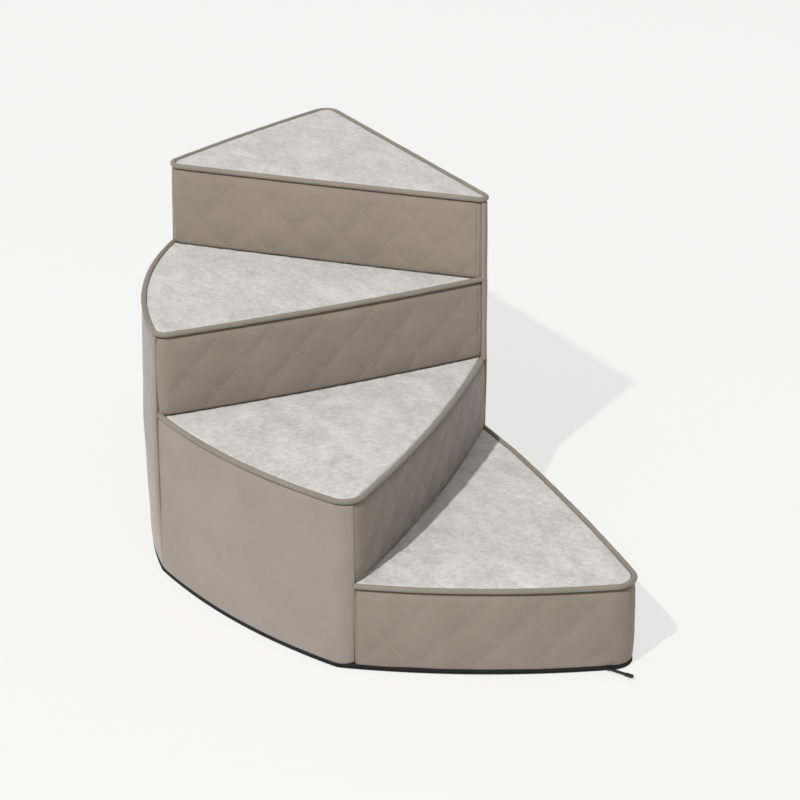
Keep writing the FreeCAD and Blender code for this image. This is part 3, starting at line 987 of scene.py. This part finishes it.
def slab_mesh(points, triangles, top, bottom):
    """Closed solid between two heights over a flat triangulation."""
    n = len(points)
    verts = np.concatenate((np.column_stack((points, top)), np.column_stack((points, bottom))))
    faces = list(triangles) + [tuple(i + n for i in f[::-1]) for f in triangles]
    faces += [(b, a, a + n, b + n) for a, b in rim_edges(triangles)]
    return verts, faces


TREAD_REGIONS = {k: region(k, TREAD_EDGE, tuck, TREAD_SPACING, TREAD_DEPTHS)
                 for k, tuck in TREAD_TUCK.items()}


def simulate_crowns():
    """Cloth run of the four treads, pinned at their edges. Returns each point's rise, by step."""
    sheets = []
    for k, (points, triangles, gap) in TREAD_REGIONS.items():
        verts = np.column_stack((points, np.full(len(points), TREAD_Z[k - 1])))
        sheets.append(cloth_sheet("crown_%d" % k, verts, triangles, gap < 1.0, TREAD_PRESSURE))
    results = zip(TREAD_REGIONS, run_cloth(sheets))
    return {k: capped(moved[:, 2] - TREAD_Z[k - 1], CROWN_CAP) for k, moved in results}


CROWNS = simulate_crowns()


def tread(k):
    """Plush pad: a crowned top with a rolled edge over a flat backing."""
    points, triangles, gap = TREAD_REGIONS[k]
    crown = CROWNS[k] if k in CROWNS else CROWN_CAP * (1.0 - np.exp(-gap / CROWN_REACH))
    swell = ripple(points[:, 0], points[:, 1], 70 + k, 0.5, 160.0, 50.0)
    swell = swell * np.clip(gap / 20.0, 0.0, 1.0)
    top = TREAD_Z[k - 1] - TREAD_SINK + crown + swell + edge_roll(gap, 4.0, 2.6)
    if k == 1:
        top += pivot_lift(points)
    bottom = np.full(len(points), TREAD_Z[k - 1] - TREAD + FIT)
    mesh = slab_mesh(points, triangles, top, bottom)
    obj = piece("plush_tread_%d" % k, mesh, PLUSH, "plush", "tread_panel_%d" % k)


for step in STEPS:
    tread(step)


# ---- inner foam and base cloth ----
FOAM_SPACING = 16.0
FOAM_DEPTHS = (0.4, 1.2, 2.5, 4.0)  # rings of points near a block's edge
FOAM_INSET = {1: 10.0, 2: 7.0, 3: 7.0, 4: 7.0}
FOAM_ROUND = 4.0  # rounding of a block's edges
PAD = 25.0  # soft comfort foam under each tread
PAD_GAP = 6.0  # soft foam stops this far from the next step
FOAM_GAP = 0.1  # air between a foam block and the soft pad on it
BASE_TOP = 2.0
DOT_PITCH = 14.0  # grip dots under the base
DOT_RADIUS = 2.0
DOT_HEIGHT = 0.4
DOT_SIDES = 8
DOT_MARGIN = 8.0  # grip dots stay this far inside the base's edge


def soft_block(name, node, k, next_gap, low, high, material, slot):
    """Foam with softened edges under the cover."""
    points, triangles, gap = region(k, FOAM_INSET[k], next_gap, FOAM_SPACING, FOAM_DEPTHS)
    roll = edge_roll(gap, FOAM_ROUND, FOAM_ROUND)
    uneven = ripple(points[:, 0], points[:, 1], 20 + k, 0.3, 180.0, 60.0)
    dip = np.minimum(uneven - 0.4, -0.1) * np.clip(gap / 10.0, 0.0, 1.0)
    mesh = slab_mesh(points, triangles, high + roll + dip, np.full(len(points), low) - roll)
    obj = piece(name, mesh, material, slot, node)


def foam_core():
    """Firm blocks stacked under the treads, each with a soft pad on it."""
    floor = BASE_TOP + FIT
    for k in STEPS:
        pad_top = TREAD_Z[k - 1] - TREAD
        pad_floor = pad_top - PAD
        soft_block("foam_block_%d" % k, "foam_layer_%d" % k, k, None, floor, pad_floor - FOAM_GAP,
                   FOAM, "foam")
        soft_block("soft_pad_%d" % k, "comfort_pad_%d" % k, k, PAD_GAP if k < 4 else None,
                   pad_floor, pad_top, PAD_FOAM, "comfort_foam")
        floor = pad_floor


def grip_dots(places):
    """Raised rubber dots on the underside: a low dome of two rings and a centre each."""
    around = unit_ring(DOT_SIDES)
    verts, faces = [], []
    for place in places:
        base = len(verts)
        for share, height in ((1.0, DOT_HEIGHT + 0.05), (0.75, 0.12)):
            verts += [(x, y, height) for x, y in place + DOT_RADIUS * share * around]
        verts.append((place[0], place[1], 0.0))
        inner, tip = base + DOT_SIDES, base + 2 * DOT_SIDES
        for j in range(DOT_SIDES):
            i = (j + 1) % DOT_SIDES
            faces.append((base + j, inner + j, inner + i, base + i))
            faces.append((inner + j, tip, inner + i))
        faces.append(tuple(range(base, inner)))
    return verts, faces


def polygon_area(loop):
    """Area inside a closed polygon."""
    x, y = loop[:, 0], loop[:, 1]
    return 0.5 * abs(float(np.dot(x, np.roll(y, -1)) - np.dot(y, np.roll(x, -1))))


def bottom_cloth():
    """Non-slip base cloth, cut to the outline, with grip dots underneath."""
    points, triangles, gap = region(1, 0.0, None, FOAM_SPACING, (0.3, 0.7, 1.2))
    roll = edge_roll(gap, 1.2, 0.7)
    verts, faces = slab_mesh(points, triangles, BASE_TOP + roll, DOT_HEIGHT - roll)
    edge = outline(1, DOT_MARGIN)
    low, high = edge.min(0), edge.max(0)
    rows = enumerate(np.arange(low[1], high[1], DOT_PITCH * ROW_PITCH))
    grid = np.array([(x + (i % 2) * DOT_PITCH / 2.0, y)
                     for i, y in rows for x in np.arange(low[0], high[0], DOT_PITCH)])
    dots, dot_faces = grip_dots(grid[within(grid, edge)])
    faces = list(faces) + [tuple(i + len(verts) for i in f) for f in dot_faces]
    mesh = np.concatenate((verts, dots)), faces
    obj = piece("bottom_cloth", mesh, BASE_CLOTH, "non_slip_cloth", "bottom_panel")
    polygon_area(outline(1, 0.0)) * MM * MM


foam_core()
bottom_cloth()


# ---- closure band and zip ----
BAND_STEP = 3.0
BAND_PROFILE = (  # (offset, height) round the tape: two woven edges and a shallow channel between
    (-1.85, 2.4), (-1.15, 2.4), (-1.0, 2.7), (-0.95, 3.4), (-1.15, 3.6), (-1.15, 7.2), (-0.95, 7.4),
    (-1.0, 8.0), (-1.15, 8.3), (-1.85, 8.3), (-2.0, 8.0), (-2.0, 2.7),
)
ZIP_START = 160.0  # the coil ends at these directions round the F4 and F0 corners
ZIP_END = 40.0
COIL_PITCH = 1.5
COIL_POINTS = 9  # points per turn
COIL_OFFSET = -0.30
COIL_DEPTH = 0.24
COIL_MIDDLE = 5.3
COIL_HEIGHT = 0.62
COIL_THREAD = 0.27
COIL_SIDES = 5
COIL_MARGIN = 0.5


def closure_band():
    """Tape round the whole base: one section swept along the outline."""
    path = stretch(1)
    count = int(path.length / BAND_STEP)
    flat, normals = path.at(np.linspace(0.0, path.length, count, endpoint=False))
    profile = np.array(BAND_PROFILE)
    sides = len(profile)
    verts = np.zeros((count, sides, 3))
    verts[..., :2] = flat[:, None, :] + normals[:, None, :] * profile[None, :, 0, None]
    verts[..., 2] = profile[None, :, 1]
    faces = ring_faces(np.arange(count * sides).reshape(count, sides), True)
    piece("closure_band", (verts.reshape(-1, 3), faces), TAPE, "zip_tape", "base_band")


def zip_teeth():
    """The closed coil: one flattened spiral of thick nylon thread along the curved side."""
    path = stretch(1, ("F4", ZIP_START), ("F0", ZIP_END))
    turns = int(path.length / COIL_PITCH)
    s = np.linspace(COIL_MARGIN, path.length - COIL_MARGIN, turns * COIL_POINTS)
    flat, normals = path.at(s)
    angle = 2.0 * math.pi * s / COIL_PITCH
    offset = COIL_OFFSET + COIL_DEPTH * np.cos(angle)
    height = COIL_MIDDLE + COIL_HEIGHT * np.sin(angle)
    points = np.column_stack((flat + normals * offset[:, None], height))
    tangent = np.gradient(points, axis=0)
    tangent /= np.linalg.norm(tangent, axis=1)[:, None]
    along = np.column_stack((-normals[:, 1], normals[:, 0], np.zeros(len(s))))
    side = along - tangent * np.sum(along * tangent, axis=1)[:, None]
    side /= np.linalg.norm(side, axis=1)[:, None]
    mesh = tube(points, side, np.cross(tangent, side), np.full(len(s), COIL_THREAD), COIL_SIDES)
    piece("zip_teeth", mesh, ZIP_PLASTIC, "zip_plastic", "zip_coil")


def finish_nodes(names, material, bevel):
    """Gives the hard CAD nodes a finish and soft edges."""
    for name in names:
        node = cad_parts[name]
        node.data.materials.clear()
        node.data.materials.append(material)
        modifier = node.modifiers.new("soft_edges", "BEVEL")
        modifier.width = bevel * MM
        modifier.segments = 3
        modifier.limit_method = "ANGLE"
        modifier.angle_limit = math.radians(40.0)


closure_band()
zip_teeth()
finish_nodes(["zip_stops", "zip_slider"], ZIP_METAL, 0.25)
finish_nodes(["zip_pull"], ZIP_PLASTIC, 0.6)


# ---- camera, light and floor ----
FLOOR_TONE = (0.22, 0.22, 0.22)
FLOOR_GLOW = 0.685
FLOOR_SIZE = 14.0  # stage sizes and places are in metres
FLOOR_DROP = 0.0002
BACKDROP_TONE = (0.02, 0.02, 0.02)
BACKDROP_GLOW = 0.90
BACKDROP_RADIUS = 13.5
WORLD_LOW = 0.32  # strength of the light from the horizon and from overhead
WORLD_HIGH = 0.63
LAMP_PLACE = (1.69, -2.83, 3.57)
LAMP_POWER = 32.0
LAMP_RADIUS = 0.055
CAMERA_PLACE = (3.0628, -1.8668, 1.7831)
CAMERA_TURN = (65.89, 0.0, 60.5)  # degrees
CAMERA_LENS = 116.5


def stage_material(name, colour, emission):
    """Pale paper that glows a little, so that it stays plain and even."""
    n = Surface(name)
    grain = n.noise(6.0, 2.0)
    shade = n.mix(n.spread(grain, 0.3, 0.7), tuple(c * 0.995 for c in colour), colour)
    return n.finish(shade, 0.9, Specular_IOR_Level=0.0, Emission_Color=(0.997, 1.0, 1.0),
                    Emission_Strength=emission)


def stage_object(name, primitive, colour, emission, **sizes):
    """A stage piece made from one bmesh primitive."""
    bm = bmesh.new()
    primitive(bm, **sizes)
    mesh = bpy.data.meshes.new(name)
    bm.to_mesh(mesh)
    bm.free()
    obj = bpy.data.objects.new(name, mesh)
    bpy.context.scene.collection.objects.link(obj)
    mesh.materials.append(stage_material(name + "_paper", colour, emission))
    return obj


def make_floor():
    floor = stage_object("floor", bmesh.ops.create_grid, FLOOR_TONE, FLOOR_GLOW,
                         x_segments=8, y_segments=8, size=FLOOR_SIZE)
    floor.location.z = -FLOOR_DROP


def make_backdrop():
    """Dome that only the camera sees, so that it neither lights nor shades the stairs."""
    dome = stage_object("backdrop", bmesh.ops.create_icosphere, BACKDROP_TONE, BACKDROP_GLOW,
                        subdivisions=4, radius=BACKDROP_RADIUS)
    for ray in ("diffuse", "glossy", "transmission", "shadow", "volume_scatter"):
        setattr(dome, "visible_" + ray, False)


def make_world():
    """Soft light that grows upwards."""
    world = bpy.data.worlds.new("studio")
    bpy.context.scene.world = world
    n = Nodes(world)
    place = n.node("ShaderNodeTexCoord", output="Generated")
    height = n.node("ShaderNodeSeparateXYZ", {0: place}, "Z")
    inputs = {"Value": height, "To Min": WORLD_LOW, "To Max": WORLD_HIGH}
    strength = n.node("ShaderNodeMapRange", inputs)
    inputs = {"Color": (1.0, 0.995, 0.985), "Strength": strength}
    n.node("ShaderNodeOutputWorld", {"Surface": n.node("ShaderNodeBackground", inputs)})


def make_lamp():
    """One small studio lamp whose light doesn't weaken with distance."""
    data = bpy.data.lights.new("lamp", "POINT")
    data.energy = LAMP_POWER
    data.shadow_soft_size = LAMP_RADIUS
    data.color = (1.0, 0.985, 0.96)
    n = Nodes(data)
    even = n.node("ShaderNodeLightFalloff", {"Strength": 1.0}, "Constant")
    emission = n.node("ShaderNodeEmission", {"Strength": even})
    n.node("ShaderNodeOutputLight", {"Surface": emission})
    lamp = bpy.data.objects.new("lamp", data)
    lamp.location = LAMP_PLACE
    bpy.context.scene.collection.objects.link(lamp)


def make_camera():
    """Three-quarter view from the curved side, a little above."""
    data = bpy.data.cameras.new("camera")
    data.sensor_width = 36.0
    data.lens = CAMERA_LENS
    data.clip_end = 100.0
    camera = bpy.data.objects.new("camera", data)
    camera.location = CAMERA_PLACE
    camera.rotation_euler = [math.radians(angle) for angle in CAMERA_TURN]
    bpy.context.scene.collection.objects.link(camera)
    bpy.context.scene.camera = camera


bpy.context.scene.view_settings.view_transform = "Standard"
make_floor()
make_backdrop()
make_world()
make_lamp()
make_camera()
